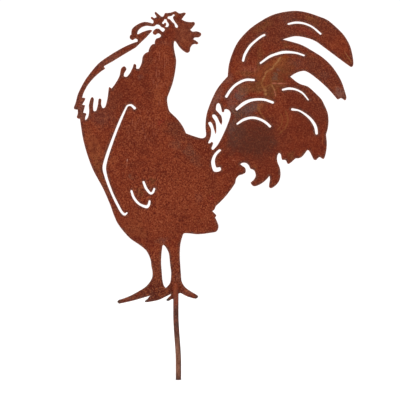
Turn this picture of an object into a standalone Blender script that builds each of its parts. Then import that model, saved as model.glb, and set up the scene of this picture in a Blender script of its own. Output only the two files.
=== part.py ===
"""Rooster cut from rusted sheet steel, welded to a round bar that is pushed into the ground.

The frame is +Z up, with the origin on the bar's axis at the soil line. The rooster stands in the XZ plane
with its front face towards -Y, its breast towards -X and its tail towards +X.
"""
import math

import bpy
from mathutils import Vector

MM = 0.001
GAP = 0.0003

SHEET = 0.002
OUTLINE_STEP = 0.0005
OUTLINE_TOLERANCE = 0.00006
BURN_ALLOWANCE = 0.00035
STROKE_ALLOWANCE = 0.00052
STROKE_END_SIDES = 7

BAR_D = 0.00635
BAR_TOP = 0.0244
BAR_BOTTOM = -0.0964
BEND_TOP = -0.014
BEND_BOTTOM = -0.076
BEND_OFFSET = 0.0032
BEND_STATIONS = 10
BAR_EDGE = 0.0004
BAR_SIDES = 24

BEAD_R = 0.0014
BEAD_BOTTOM = 0.0135
BEAD_TURN_STATIONS = 6
BEAD_SIDES = 12

SHEET_FRONT_Y = BAR_D / 2 + GAP
SHEET_MID_Y = SHEET_FRONT_Y + SHEET / 2

RUSTED_SHEET = ((0.200, 0.060, 0.030), 0.85, 0.15)
RUSTED_BAR = ((0.130, 0.048, 0.036), 0.78, 0.20)
RUSTED_WELD = ((0.170, 0.062, 0.034), 0.80, 0.15)

# The drawing of the sheet's edge, clockwise from the comb, as points (x, z) in millimetres. Each run is one
# smooth curve that ends at the next run's first point, where the edge turns a corner. The flame is led
# BURN_ALLOWANCE clear of the drawn lines, so the plate is that much fuller and its openings narrower.
OUTLINE = {
    "comb_crown": [
        (-13.4, 361.7), (-7.4, 361.9), (-3.6, 363.1), (-0.3, 363.9), (2.6, 361.8), (5.1, 361.1),
        (10.5, 362.2), (12, 361.3), (10, 358.5),
    ],
    "comb_upper_point": [
        (6.8, 353.8), (11.5, 351.3), (18, 350.2), (22.5, 350.3), (23.6, 348.5), (20.5, 344),
    ],
    "comb_middle_point": [
        (17.6, 341), (20.5, 338.4), (26, 338.7), (31, 336.5), (31.3, 334.6), (28.5, 331.9),
        (23.5, 331.5),
    ],
    "comb_lower_point_and_nape": [
        (21.3, 329.2), (25, 326.9), (27.8, 324.2), (25.5, 323), (24, 323.6), (20.3, 322.3),
        (17.6, 318.3), (17, 314.3), (14.2, 312.4), (10, 314.4), (5, 319), (-0.5, 326.7), (-1.7, 327),
        (-2.6, 325.8), (-2.9, 319), (0, 302.5), (-1.1, 290), (-4.2, 275), (-7.7, 265),
    ],
    "back": [
        (-10.8, 257.2), (-11.3, 252.5), (-8.6, 239.5), (-4.9, 235.4), (0, 230.8), (5, 224.9),
        (9.1, 218.6),
    ],
    "saddle": [
        (12.4, 211.2), (20, 208.4), (33, 205), (36.8, 206.8), (37.9, 208.9), (37.2, 220), (38.6, 235),
        (43.7, 250), (50.7, 265), (58, 275),
    ],
    "first_sickle": [
        (65, 282.6), (66.1, 295), (69.5, 308), (77.4, 325), (90.5, 340), (103.9, 350), (122.5, 359.8),
        (147.5, 364.3), (162.5, 362.6), (177, 358), (188.9, 353.1), (199.7, 344.4), (209.6, 334.2),
        (216.4, 323), (219.9, 312), (221.6, 298.5), (220.9, 295.8), (219.5, 294.7), (214.1, 298),
        (199.7, 308.6), (185.1, 319.6), (175, 326.8), (165, 330.8), (150, 333.3), (140, 331.3),
    ],
    "second_sickle": [
        (133.3, 328.8), (142.5, 326.3), (157.5, 321.5), (172.5, 313.1), (182.6, 306.6), (191.8, 298.4),
        (198.5, 290.2), (206.4, 276.9), (211, 263.5), (212.8, 255.5), (211.4, 253.1), (209.1, 254.6),
        (206.4, 255.8), (202.6, 254.2), (200.3, 256.5), (190.3, 267.7), (177.6, 279.3), (165.4, 288.1),
        (160.1, 289.9), (150.5, 287.5),
    ],
    "third_sickle": [
        (142.6, 282.4), (149.3, 276.5), (155.1, 272.9), (164.9, 269.6), (173.5, 262.1), (181.3, 254.2),
        (186.2, 245), (189.6, 236), (190.5, 226.5), (189.5, 217.4),
    ],
    "fourth_sickle": [
        (187.4, 209.8), (188.4, 199), (187.4, 188), (185.1, 180.4), (184, 179.7), (179.6, 182.1),
        (176.6, 180), (175.3, 178.5), (173, 178.7), (170.2, 183.4), (168.4, 187.4), (165.6, 190.7),
        (164.1, 190.6), (161.1, 186.7), (156.9, 182), (152.9, 180.5), (149.7, 180.4), (144.5, 175.9),
        (140.3, 173.6), (137.3, 178.2),
    ],
    "fifth_feather": [
        (133.1, 178.5), (132.3, 180.5), (131.2, 185.6), (128.8, 187.1), (126.5, 183.5), (126.3, 176.8),
        (129.7, 167.5), (130.5, 160), (129.2, 153), (125.6, 147.6), (119.1, 143.2), (116.9, 144.4),
        (117.9, 155),
    ],
    "sixth_feather": [
        (116.9, 158.5), (113.7, 154.7), (107.4, 149.3), (99.9, 145.8), (96.9, 145.8), (94.5, 148.1),
    ],
    "covert_hook": [
        (93.7, 149.9), (97.6, 153.3), (100.1, 158.5), (98.6, 164.4), (96.4, 166.4),
    ],
    "covert_gap": [
        (93.3, 167.4), (91.3, 171.7), (87.4, 174.8), (82.2, 174.6),
    ],
    "covert_tip": [
        (80.2, 172.7), (84.8, 169.3), (86.4, 167.8), (86.8, 163), (83.6, 160.6), (78.7, 159.1),
        (75.1, 155),
    ],
    "rump": [
        (73.9, 149.3), (69.3, 142.4), (62.7, 133.8), (55.1, 125.6), (49.6, 120.5), (47.9, 116.4),
    ],
    "vent_notch": [
        (45.2, 114.1), (50.1, 108.6),
    ],
    "thigh_and_hind_toe": [
        (48.7, 106.3), (50.7, 102.1), (52.8, 96.5), (52.8, 93.5), (50.5, 89.1), (43.5, 87.4),
        (26.7, 85.6), (17.1, 86.7), (9.6, 86.4), (7.7, 82.4), (5.3, 73), (4.5, 60), (5, 48), (6, 35),
        (6.9, 26.4), (11, 19.2), (17.5, 14.2), (26.7, 8.6), (27.5, 7.2), (25.3, 5.1), (17, 6.8),
        (12.7, 8.4), (5.3, 12.1),
    ],
    "foot_behind_bar": [
        (3.2, 11), (1, 8.2),
    ],
    "spur": [
        (-3.3, 4.3), (-4.6, 4.7), (-9.8, 2.1), (-11.7, 3), (-6.1, 9.2),
    ],
    "right_front_toe": [
        (-6.2, 10.7), (-14.2, 6.9), (-20.7, 3.7), (-27.6, 2), (-38, 0.7), (-38.7, 1.3), (-35, 4.7),
    ],
    "left_toe_to_breast": [
        (-32.1, 8.6), (-43.2, 5.4), (-55.8, 2), (-69.5, -0.9), (-70.9, -1.2), (-72.9, 0.7),
        (-71.4, 2.9), (-68.4, 3.7), (-59, 7.2), (-49.7, 11.9), (-36.4, 20.5), (-29.6, 30.6),
        (-29, 38.3), (-30.3, 45), (-31.4, 53.5), (-36.5, 64.6), (-44, 71.3), (-56.5, 79.9),
        (-65, 88.8), (-72.9, 99.6), (-77.4, 109.5), (-81.7, 121.8), (-91, 143), (-102.7, 164.5),
        (-108.8, 179.8), (-113, 193), (-116.5, 207.8), (-118.6, 222),
    ],
    "breast_nick": [
        (-119.9, 229.8), (-122.2, 230.2), (-123.6, 231.6), (-122.4, 236),
    ],
    "hackle_edge": [
        (-122.5, 241.2), (-126.5, 241.9), (-127.3, 243.2), (-125, 250), (-122.4, 260), (-115, 275),
        (-108.2, 285), (-100, 295), (-94.9, 300.1), (-79.9, 310.4), (-64.9, 319.1), (-55, 323.5),
    ],
    "wattle": [
        (-49.5, 325.4), (-48, 326), (-47.8, 328.8), (-51, 330.2), (-54.2, 328.4), (-57.3, 330.2),
        (-57, 333.8), (-55.5, 335), (-55.6, 336.5), (-54.5, 341.8), (-48, 347.3), (-40, 350.4),
        (-33.5, 349.8), (-29.5, 348.6), (-28, 349.2), (-28, 352.3), (-31.2, 355.8), (-30.2, 356.9),
        (-27, 355.2),
    ],
    "beak": [
        (-23.8, 356.8), (-25.5, 359.8), (-26.3, 361.8), (-25.5, 363.1), (-22.6, 360.7), (-17.6, 357),
        (-15.6, 357.6),
    ],
}

# Openings with corners of their own, read the same way.
LEG_GAP = [
    [
        (-15.6, 72.2), (-16.8, 71.4), (-18, 65), (-18.9, 50), (-18.2, 40), (-16.9, 26.4),
        (-14.9, 20.2), (-12.9, 18.1), (-10.3, 20), (-7, 24.6), (-5.6, 37), (-6.8, 46), (-7.6, 55),
        (-8.8, 62.5), (-13.3, 70.5),
    ],
]
BEAK_SLIT = [
    [
        (-2.9, 360.6), (-2.1, 360.4), (-1.3, 358.8), (-2.9, 357.4), (-3.4, 355.6), (-1.8, 352.3),
        (1.4, 347.8), (2.8, 345.6), (1.6, 343.1), (-0.8, 344.1), (-2.3, 348.4), (-4.8, 350.4),
        (-7.4, 353.5),
    ],
    [
        (-10.8, 354.9), (-10.1, 357.6), (-7.4, 358.2), (-5.4, 358.7), (-3.8, 360.3),
    ],
]
EYE = [
    [
        (-11.7, 354.2), (-10.8, 351.4), (-9, 349), (-8.6, 346.9), (-9.9, 344.4), (-12.1, 344),
    ],
    [
        (-13.9, 345.2), (-13.1, 346), (-12.3, 347.9), (-12.8, 349.3), (-14.3, 349.3), (-14.9, 348),
        (-17.1, 348.4), (-17.4, 350.1), (-15.4, 352.4), (-14.5, 354.4),
    ],
]
HACKLE = [
    [
        (-30, 339.6), (-30.5, 340.3), (-34, 340.3), (-42, 337.7), (-47, 335.2),
    ],
    [
        (-48.8, 335.3), (-47.8, 339.5), (-43.5, 344), (-37, 346.2), (-27.5, 345.6), (-24.5, 347.6),
        (-22.4, 347.8), (-20.1, 346.8), (-18.1, 344.5), (-15.1, 343.5), (-13.6, 340.8),
        (-16.4, 338.1), (-18.9, 339.8), (-21.1, 341.8), (-24.9, 341.9), (-28.4, 338.5),
        (-28.5, 336.5), (-26, 334.8), (-22.3, 336.9), (-19.6, 335.6), (-18.4, 333.3), (-20.5, 330.9),
        (-24.3, 329.6), (-26.1, 326.3),
    ],
    [
        (-26.3, 323), (-28, 322.9), (-30.5, 321.5), (-33.5, 316.3),
    ],
    [
        (-34, 313.5), (-38.5, 311), (-41.3, 307), (-42.3, 300.5), (-44.8, 294), (-46.5, 292),
        (-49.7, 292.3), (-50.1, 297), (-52.2, 298), (-53.8, 293.5), (-57.5, 286.3), (-61.5, 282),
        (-65, 282.5), (-65, 286.5), (-62.2, 292), (-64.5, 295), (-67.8, 293), (-70.5, 282.5),
        (-75.5, 273.5),
    ],
    [
        (-80, 267.5), (-81.3, 267.7), (-83, 269),
    ],
    [
        (-83.6, 268.8), (-84.7, 259), (-85.7, 253), (-88.5, 244), (-91.5, 242.7), (-93.8, 247.5),
        (-93.8, 254), (-96, 254.5), (-97.3, 247), (-99.5, 239.8), (-101.5, 238.7), (-103.2, 239.5),
        (-103.9, 246.5), (-103, 254.5), (-104.2, 256.4), (-105.5, 256), (-108.5, 247), (-108.2, 238),
        (-109.9, 231.1), (-112.2, 228.2), (-113.4, 228.2), (-113.9, 230.9), (-112.4, 235.8),
    ],
    [
        (-113.2, 236.5), (-115, 236.7),
    ],
    [
        (-116.2, 237.4), (-115.5, 240.5),
    ],
    [
        (-113.8, 246.3),
    ],
    [
        (-117.5, 247.3), (-114, 253.5),
    ],
    [
        (-113.7, 255.4),
    ],
    [
        (-117.5, 256), (-116, 261.5), (-110.5, 272), (-103.5, 280.5), (-98.5, 285.3), (-94, 289),
        (-88.8, 292.8),
    ],
    [
        (-89.3, 293.3), (-90, 293.7),
    ],
    [
        (-90.2, 295.6), (-79.9, 301.4), (-69.9, 307.6), (-59.9, 313.6), (-49.9, 319.6),
        (-44.9, 324.6), (-38, 331),
    ],
]
COVERT_OPENING = [
    [
        (53, 249.6), (54.3, 249.2), (56.2, 246),
    ],
    [
        (57.8, 238.4), (59.1, 238.1),
    ],
    [
        (59.9, 238.4), (60.5, 241.2), (63.2, 242.1), (66.6, 240.5), (68.6, 237.3), (68.4, 233.3),
        (64.5, 221.5), (54.7, 200.6), (49.8, 193.6), (45.9, 190.5), (44.2, 192.4), (46.2, 199.3),
        (44.5, 200.4), (42.7, 198.9), (40.8, 198.8), (40.1, 199.7), (42.4, 204.9), (43.7, 210.5),
        (43.4, 217), (40.2, 224.2), (41.8, 226), (44.6, 225.1), (47.9, 216.9),
    ],
    [
        (49.4, 211), (49.9, 211.9), (50.1, 219.5), (49.1, 225.9), (45.4, 231.9), (45.4, 234.5),
        (47.8, 235.4), (51.1, 232.9), (55.2, 224.7),
    ],
    [
        (56.9, 222.1), (57.6, 226.2), (56.5, 232.8), (53.7, 236.4), (49.8, 240.6), (49.8, 243.5),
        (50.9, 248.3),
    ],
]
CRESCENT = [
    [
        (56.8, 190), (55.5, 191.8), (52.8, 191), (47.2, 185.2), (44.5, 179), (43.8, 174.8),
        (45.5, 166.5), (47.6, 163.5), (52.8, 163.2), (56.6, 165.6), (55.5, 169.2), (51, 169),
    ],
    [
        (50.3, 169.8), (49.3, 173.3), (49, 178.1), (51.2, 184),
    ],
]

# Cut strokes with round ends, as stations (x, z, width) in millimetres along the middle of each stroke.
# The cut is STROKE_ALLOWANCE narrower on each side than the width that is drawn.
STROKES = {
    "first_sickle_lower": [
        (84, 302.4, 3.7), (86, 309.6, 4.1), (92.5, 320.4, 4), (99, 326.7, 3.7), (106.4, 332.4, 3.6),
        (110.6, 334.5, 3.4),
    ],
    "first_sickle_upper": [
        (140.6, 348.2, 3.2), (150, 350, 3.7), (160, 348.9, 3.4), (170, 344.8, 3.2), (180.8, 336, 3.4),
    ],
    "second_sickle": [
        (105.9, 299.4, 3.2), (117, 307.3, 3.9), (125.2, 310.6, 4.1), (135, 312.9, 4.4),
        (150, 312.1, 3.4), (160, 308.9, 3.1),
    ],
    "tail_front": [
        (63.1, 257.6, 4.2), (68, 265.3, 4.1), (75, 272.4, 4), (84.7, 277.6, 4), (90, 278.6, 4),
        (97.3, 278.1, 3.7),
    ],
    "tail_middle": [
        (76.2, 241.9, 4.4), (85.1, 249, 5), (95, 253.1, 4.3), (109.6, 253.7, 3.8), (121, 250.1, 4),
    ],
    "tail_lower": [
        (76.8, 223.4, 3.2), (84.5, 228.4, 4.1), (94, 231, 4), (103.5, 229.6, 3.9), (112.3, 225, 4),
        (117.6, 220.2, 3.9),
    ],
    "third_sickle": [
        (133.6, 266, 3.2), (141.3, 267.5, 3.9), (150, 266.2, 3.3), (158.2, 261.9, 3.1),
        (165.3, 253.6, 2.6),
    ],
    "fourth_sickle": [
        (145.5, 241.4, 3.9), (154.2, 239.8, 3), (167.1, 230.7, 4), (173.2, 222.6, 4.6),
        (175, 218, 4.6), (175.9, 211.6, 4.3),
    ],
    "wing": [
        (-51.6, 242.9, 4.2), (-55.9, 246.6, 3.5), (-60.5, 246, 3), (-62.2, 243.4, 3.1),
        (-68.3, 230.3, 3.9), (-76.5, 210.3, 4.1), (-87.6, 178.4, 5), (-89.6, 168.3, 5.3),
        (-87.6, 157.6, 4.5), (-80, 136.6, 3.8), (-73.4, 123, 4.1), (-67.4, 112.5, 3.8),
        (-64.1, 110.1, 3.8), (-61.4, 111.9, 2.8),
    ],
    "thigh_lower": [
        (-55.6, 139.2, 3.6), (-53.2, 132, 3.9), (-48.4, 125.4, 3.8), (-43.8, 121.9, 3.6),
        (-36.2, 119.7, 4.6), (-33.9, 122.2, 4), (-33, 126.4, 3.5),
    ],
    "thigh_upper": [
        (-40.5, 150.5, 3.7), (-38, 144, 4), (-35.6, 140.3, 3.8), (-33, 137.2, 3.7), (-31, 136.3, 3.6),
        (-28.8, 137.8, 3.6), (-27.1, 141.9, 3.5),
    ],
}


def clear_scene():
    for obj in list(bpy.data.objects):
        bpy.data.objects.remove(obj, do_unlink=True)


def steel(name, finish):
    """A rusted steel material from its colour, roughness and metallic value."""
    colour, roughness, metallic = finish
    material = bpy.data.materials.new(name)
    material.use_nodes = True
    shader = material.node_tree.nodes["Principled BSDF"]
    shader.inputs["Base Color"].default_value = (*colour, 1.0)
    shader.inputs["Roughness"].default_value = roughness
    shader.inputs["Metallic"].default_value = metallic
    return material


def place(name, data, finish):
    obj = bpy.data.objects.new(name, data)
    data.materials.append(steel(name, finish))
    bpy.context.collection.objects.link(obj)
    return obj


def in_metres(points):
    return [Vector([value * MM for value in point]) for point in points]


def smooth(points):
    """Centripetal Catmull-Rom curve through the points, sampled every OUTLINE_STEP or so."""
    if len(points) < 3:
        return list(points)
    ends = [2 * points[0] - points[1]], [2 * points[-1] - points[-2]]
    run = ends[0] + list(points) + ends[1]
    curve = []
    for p0, p1, p2, p3 in zip(run, run[1:], run[2:], run[3:]):
        t1 = math.sqrt((p1 - p0).length)
        t2 = t1 + math.sqrt((p2 - p1).length)
        t3 = t2 + math.sqrt((p3 - p2).length)
        count = max(2, math.ceil((p2 - p1).length / OUTLINE_STEP))
        for index in range(count):
            t = t1 + (t2 - t1) * index / count
            a1 = p0.lerp(p1, t / t1)
            a2 = p1.lerp(p2, (t - t1) / (t2 - t1))
            a3 = p2.lerp(p3, (t - t2) / (t3 - t2))
            b1 = a1.lerp(a2, t / t2)
            b2 = a2.lerp(a3, (t - t1) / (t3 - t1))
            curve.append(b1.lerp(b2, (t - t1) / (t2 - t1)))
    curve.append(points[-1])
    return curve


def thin(points):
    """Leave out the points that lie within OUTLINE_TOLERANCE of a straight line between those kept."""
    kept = [points[0]]
    start = 0
    for end in range(2, len(points)):
        chord = points[end] - points[start]
        normal = Vector((-chord.y, chord.x)).normalized()
        between = points[start + 1:end]
        if max(abs((point - points[start]).dot(normal)) for point in between) > OUTLINE_TOLERANCE:
            start = end - 1
            kept.append(points[start])
    kept.append(points[-1])
    return kept


def ring(runs, steel_side):
    """One closed loop from runs that meet at corners; steel_side is 1 with steel inside it, else -1."""
    runs = [in_metres(run) for run in runs]
    loop = []
    for run, following in zip(runs, runs[1:] + runs[:1]):
        loop += thin(smooth(run + [following[0]]))[:-1]
    return moved_out(loop, steel_side * BURN_ALLOWANCE)


def moved_out(loop, distance):
    """The loop with each corner moved out of it by a distance, or into it by a negative one."""
    turns = zip(loop, loop[1:] + loop[:1])
    area = sum(here.x * after.y - after.x * here.y for here, after in turns) / 2
    moved = []
    for before, here, after in zip(loop[-1:] + loop[:-1], loop, loop[1:] + loop[:1]):
        along = (here - before).normalized() + (after - here).normalized()
        normal = Vector((along.y, -along.x)).normalized() * math.copysign(1, area)
        moved.append(here + normal * distance)
    return moved


def stroke(stations):
    """Closed loop round a cut of varying width that follows its stations."""
    line = smooth(in_metres(stations))
    sides = ([], [])
    for index, station in enumerate(line):
        ahead = line[min(index + 1, len(line) - 1)] - line[max(index - 1, 0)]
        along = Vector(ahead[:2]).normalized()
        across = Vector((-along.y, along.x)) * (station[2] / 2 - STROKE_ALLOWANCE)
        sides[0].append(Vector(station[:2]) + across)
        sides[1].append(Vector(station[:2]) - across)
    far_end = round_end(sides[0][-1], sides[1][-1])
    near_end = round_end(sides[1][0], sides[0][0])
    return thin(sides[0]) + far_end + thin(sides[1][::-1]) + near_end


def round_end(start, end):
    """Points of the half circle that turns clockwise from start to end, without those two."""
    middle = (start + end) / 2
    arm = start - middle
    points = []
    for index in range(1, STROKE_END_SIDES):
        angle = -math.pi * index / STROKE_END_SIDES
        turned = Vector((arm.x * math.cos(angle) - arm.y * math.sin(angle),
                         arm.x * math.sin(angle) + arm.y * math.cos(angle)))
        points.append(middle + turned)
    return points


def sheet_loops():
    openings = [LEG_GAP, BEAK_SLIT, EYE, HACKLE, COVERT_OPENING, CRESCENT]
    loops = [ring(list(OUTLINE.values()), 1)]
    loops += [ring(runs, -1) for runs in openings]
    loops += [stroke(stations) for stations in STROKES.values()]
    return loops


def make_sheet():
    """The rooster, as a flat filled curve with the thickness of the sheet."""
    curve = bpy.data.curves.new("rooster_sheet", "CURVE")
    curve.dimensions = "2D"
    curve.fill_mode = "BOTH"
    curve.extrude = SHEET / 2
    for loop in sheet_loops():
        spline = curve.splines.new("POLY")
        spline.points.add(len(loop) - 1)
        for point, corner in zip(spline.points, loop):
            point.co = (corner.x, corner.y, 0, 1)
        spline.use_cyclic_u = True
        spline.use_smooth = False
    sheet = place("rooster_sheet", curve, RUSTED_SHEET)
    sheet.rotation_euler = (math.pi / 2, 0, 0)
    sheet.location = (0, SHEET_MID_Y, 0)
    return sheet


def rod(name, stations, radius, sides, finish):
    """A round rod along stations (point, share of the radius), closed at both ends."""
    curve = bpy.data.curves.new(name, "CURVE")
    curve.dimensions = "3D"
    curve.bevel_depth = radius
    curve.bevel_resolution = (sides - 4) // 2
    curve.use_fill_caps = True
    spline = curve.splines.new("POLY")
    spline.points.add(len(stations) - 1)
    for point, (place_at, share) in zip(spline.points, stations):
        point.co = (*place_at, 1)
        point.radius = share
    spline.use_smooth = True
    return place(name, curve, finish)


def bar_axis(z):
    """The bar's axis leaves the vertical below the soil line and comes back to it further down."""
    share = min(1, max(0, (BEND_TOP - z) / (BEND_TOP - BEND_BOTTOM)))
    return Vector((BEND_OFFSET * share * share * (3 - 2 * share), 0, z))


def make_bar():
    """The round bar, bent a little where it goes into the ground, with its end edges broken."""
    edge_share = 1 - 2 * BAR_EDGE / BAR_D
    heights = [BAR_TOP - BAR_EDGE, BEND_TOP]
    heights += [BEND_TOP + (BEND_BOTTOM - BEND_TOP) * i / BEND_STATIONS for i in range(1, BEND_STATIONS + 1)]
    heights += [BAR_BOTTOM + BAR_EDGE]
    stations = [(bar_axis(BAR_TOP), edge_share)]
    stations += [(bar_axis(z), 1) for z in heights]
    stations += [(bar_axis(BAR_BOTTOM), edge_share)]
    return rod("ground_spike", stations, BAR_D / 2, BAR_SIDES, RUSTED_BAR)


def make_weld():
    """The weld runs up one side of the bar, close over its top end and down the other side."""
    bead_y = SHEET_FRONT_Y - GAP - BEAD_R
    clearance = GAP + BEAD_R
    right = []
    for index in range(BEAD_TURN_STATIONS):
        angle = math.pi / 2 * index / (BEAD_TURN_STATIONS - 1)
        from_axis = BAR_D / 2 + clearance * math.cos(angle)
        x = math.sqrt(from_axis ** 2 - bead_y ** 2)
        right.append(Vector((x, bead_y, BAR_TOP + clearance * math.sin(angle))))
    right = [Vector((right[0].x, bead_y, BEAD_BOTTOM))] + right
    left = [Vector((-point.x, point.y, point.z)) for point in right]
    path = left + right[::-1]
    return rod("weld_bead", [(point, 1) for point in path], BEAD_R, BEAD_SIDES, RUSTED_WELD)


clear_scene()
make_sheet()
make_bar()
make_weld()
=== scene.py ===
"""The looks of the rusted sheet-steel rooster: pitted plate, round bar, weld and their rust.

Sizes that only shape the surface are in millimetres in the sheet's plane, as x to the tail and z up.
"""

import math

import bpy
import numpy as np
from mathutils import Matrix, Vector, noise
from mathutils.geometry import delaunay_2d_cdt
from mathutils.kdtree import KDTree


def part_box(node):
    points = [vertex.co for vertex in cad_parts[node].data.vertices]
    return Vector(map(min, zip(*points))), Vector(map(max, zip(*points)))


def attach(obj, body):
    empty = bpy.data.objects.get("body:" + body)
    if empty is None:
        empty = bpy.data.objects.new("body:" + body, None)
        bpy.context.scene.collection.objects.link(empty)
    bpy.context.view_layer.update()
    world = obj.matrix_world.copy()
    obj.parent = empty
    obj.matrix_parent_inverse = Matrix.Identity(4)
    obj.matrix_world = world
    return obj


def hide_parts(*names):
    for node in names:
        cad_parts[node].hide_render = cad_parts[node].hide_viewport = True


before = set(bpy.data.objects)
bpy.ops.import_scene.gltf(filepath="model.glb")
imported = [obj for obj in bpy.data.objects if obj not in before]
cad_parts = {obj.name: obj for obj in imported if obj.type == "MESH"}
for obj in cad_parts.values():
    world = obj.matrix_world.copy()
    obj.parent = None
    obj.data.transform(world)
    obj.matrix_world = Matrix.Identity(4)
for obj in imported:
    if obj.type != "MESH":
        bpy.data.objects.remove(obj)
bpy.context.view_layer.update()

MM = 0.001

# Reading the plate's outline off its solid, in mm
OUTLINE_DECIMALS = 3
FLAT_WITHIN = 0.01

# The plate's surface mesh, in mm; the jitter is a share of the step
EDGE_STEP = 1.0
EDGE_ROUND = 0.3
FACE_STEP = 1.52
FACE_JITTER = 0.18
FACE_CLEARANCE = 0.85
JOIN_WITHIN = 1e-6

# Testing points against the outline: how many at once, and what stands in for the rise of a level edge
TEST_BATCH = 2000
NEARLY_LEVEL = 1e-9

# Seed of the points' jitter and of the noise that pushes the patches about
SEED = 7

# The cut edges: a rounded corner's middle as a share of its radius, the roughness and its grain in mm,
# and how much finer that grain is through the sheet
CORNER_MIDDLE = 0.3
CUT_ROUGHNESS = 0.05
CUT_GRAIN = 1.7
CUT_STRETCH = 1.5

# Relief of the rust on the faces, full from the fade on, in mm; a pit's radius is a share of the pitch
SWELL_SIZE = 55
SWELL_HEIGHT = 0.10
SCAB_SIZE = 5.5
SCAB_HEIGHT = 0.055
PIT_PITCH = 4.2
PIT_RADIUS = 0.34
PIT_DEPTH = 0.13
RELIEF_FADE = 2

# The thickness is stretched by this in the relief, so that front and back differ
SIDES_APART = 9

# Fractal noises: (dimension, lacunarity, octaves)
SCAB_NOISE = (0.9, 2.1, 3)
CUT_NOISE = (0.8, 2.0, 2)

# The bar, in mm: it bends between two heights under the soil line
BEND_TOP = -14.0
BEND_BOTTOM = -76.0
BAR_RING_STEP = 0.9
BAR_SIDES = 48
BAR_FOOT = 0.05
BAR_SCALE = 0.22
BAR_SCAB_SIZE = 3.5
BAR_SCAB_HEIGHT = 0.07
BAR_EDGE = 0.5

# Rings of the bar's rounded ends, from the end on: (distance from it, inset), as shares of BAR_EDGE
BAR_END_RINGS = [(0, 1.6), (0.25, 0.55)]

# The weld bead, in mm
BEAD_WIDTH = 2.1
BEAD_HEIGHT = 2.3
BEAD_TURN = 1.8
BEAD_STEP = 0.25
BEAD_SIDES = 20
BEAD_START = 0.6
RIPPLE_PITCH = 1.5
RIPPLE_HEIGHT = 0.14
TAPER_LENGTH = 1.6
UNEVEN_SIZE = 2.3

# The bead's middle line beside the bar, over its top and before the plate, as shares of the bead's size
BEAD_ASIDE = 0.35
BEAD_OVER = 0.3
BEAD_BEFORE = 0.28

# How thin the bead's ends get, how uneven it is, and how far its ripples lag at the sides, as shares
TAPER_LEAST = 0.03
UNEVENNESS = 0.13
RIPPLE_LAG = 0.45

# The photograph's frame: 400 pixels across cover 500 mm at the plate; these are in metres
VIEW_WIDTH = 0.5
VIEW_CENTRE = (0.0301, 0.1281)
CAMERA_DISTANCE = 2.5
CLIP_END = 50
FLOOR_SIZE = 40.0

# Width of the camera's sensor, in mm
SENSOR = 36.0

FLOOR_GREY = 0.97
FLOOR_ROUGHNESS = 0.9
WORLD_STRENGTH = 1.06

# Round lights: (name, place, diameter in metres, power in watts)
LIGHTS = [
    ("key", (-1.5, -1.7, 1.7), 1.2, 26),
    ("back_fill", (1.6, 2.0, 1.4), 1.4, 14),
]

# Rust colours, as linear albedo
RUST_DEEP = (0.066, 0.0045, 0.0010)
RUST_DARK = (0.094, 0.0110, 0.0030)
RUST_SHADE = (0.092, 0.0165, 0.0070)
RUST_NIGHT = (0.060, 0.0120, 0.0055)
RUST_MAIN = (0.126, 0.0156, 0.0042)
RUST_ORANGE = (0.161, 0.0250, 0.0068)
RUST_BRIGHT = (0.215, 0.0520, 0.0165)
RUST_PINK = (0.285, 0.0860, 0.0480)
RUST_PALE = (0.290, 0.0790, 0.0320)
RUST_RED = (0.185, 0.0180, 0.0100)
RIM_GREY = (0.100, 0.0400, 0.0270)
RIM_DARK = (0.046, 0.0220, 0.0165)
RUST_LIP = (0.260, 0.0550, 0.0220)
CLAW = (0.034, 0.0290, 0.0220)
PLUM = (0.063, 0.0135, 0.0065)
INK = (0.065, 0.0210, 0.0130)
SLATE = (0.084, 0.0480, 0.0400)
GREY_PINK = (0.150, 0.0620, 0.0450)
OLIVE = (0.114, 0.0380, 0.0105)
OCHRE = (0.205, 0.0700, 0.0190)
GOLD = (0.190, 0.0430, 0.0100)
AMBER = (0.175, 0.0310, 0.0035)
TAN = (0.260, 0.1090, 0.0390)
TEAL_GREY = (0.090, 0.0550, 0.0360)
PALE_SPOT = (0.420, 0.2000, 0.1400)
BAR_DARK = (0.040, 0.0170, 0.0130)
BAR_INK = (0.036, 0.0200, 0.0190)
BAR_PLUM = (0.140, 0.0430, 0.0290)
BAR_BROWN = (0.115, 0.0480, 0.0270)
BAR_SCOURED = (0.190, 0.0900, 0.0580)

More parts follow.
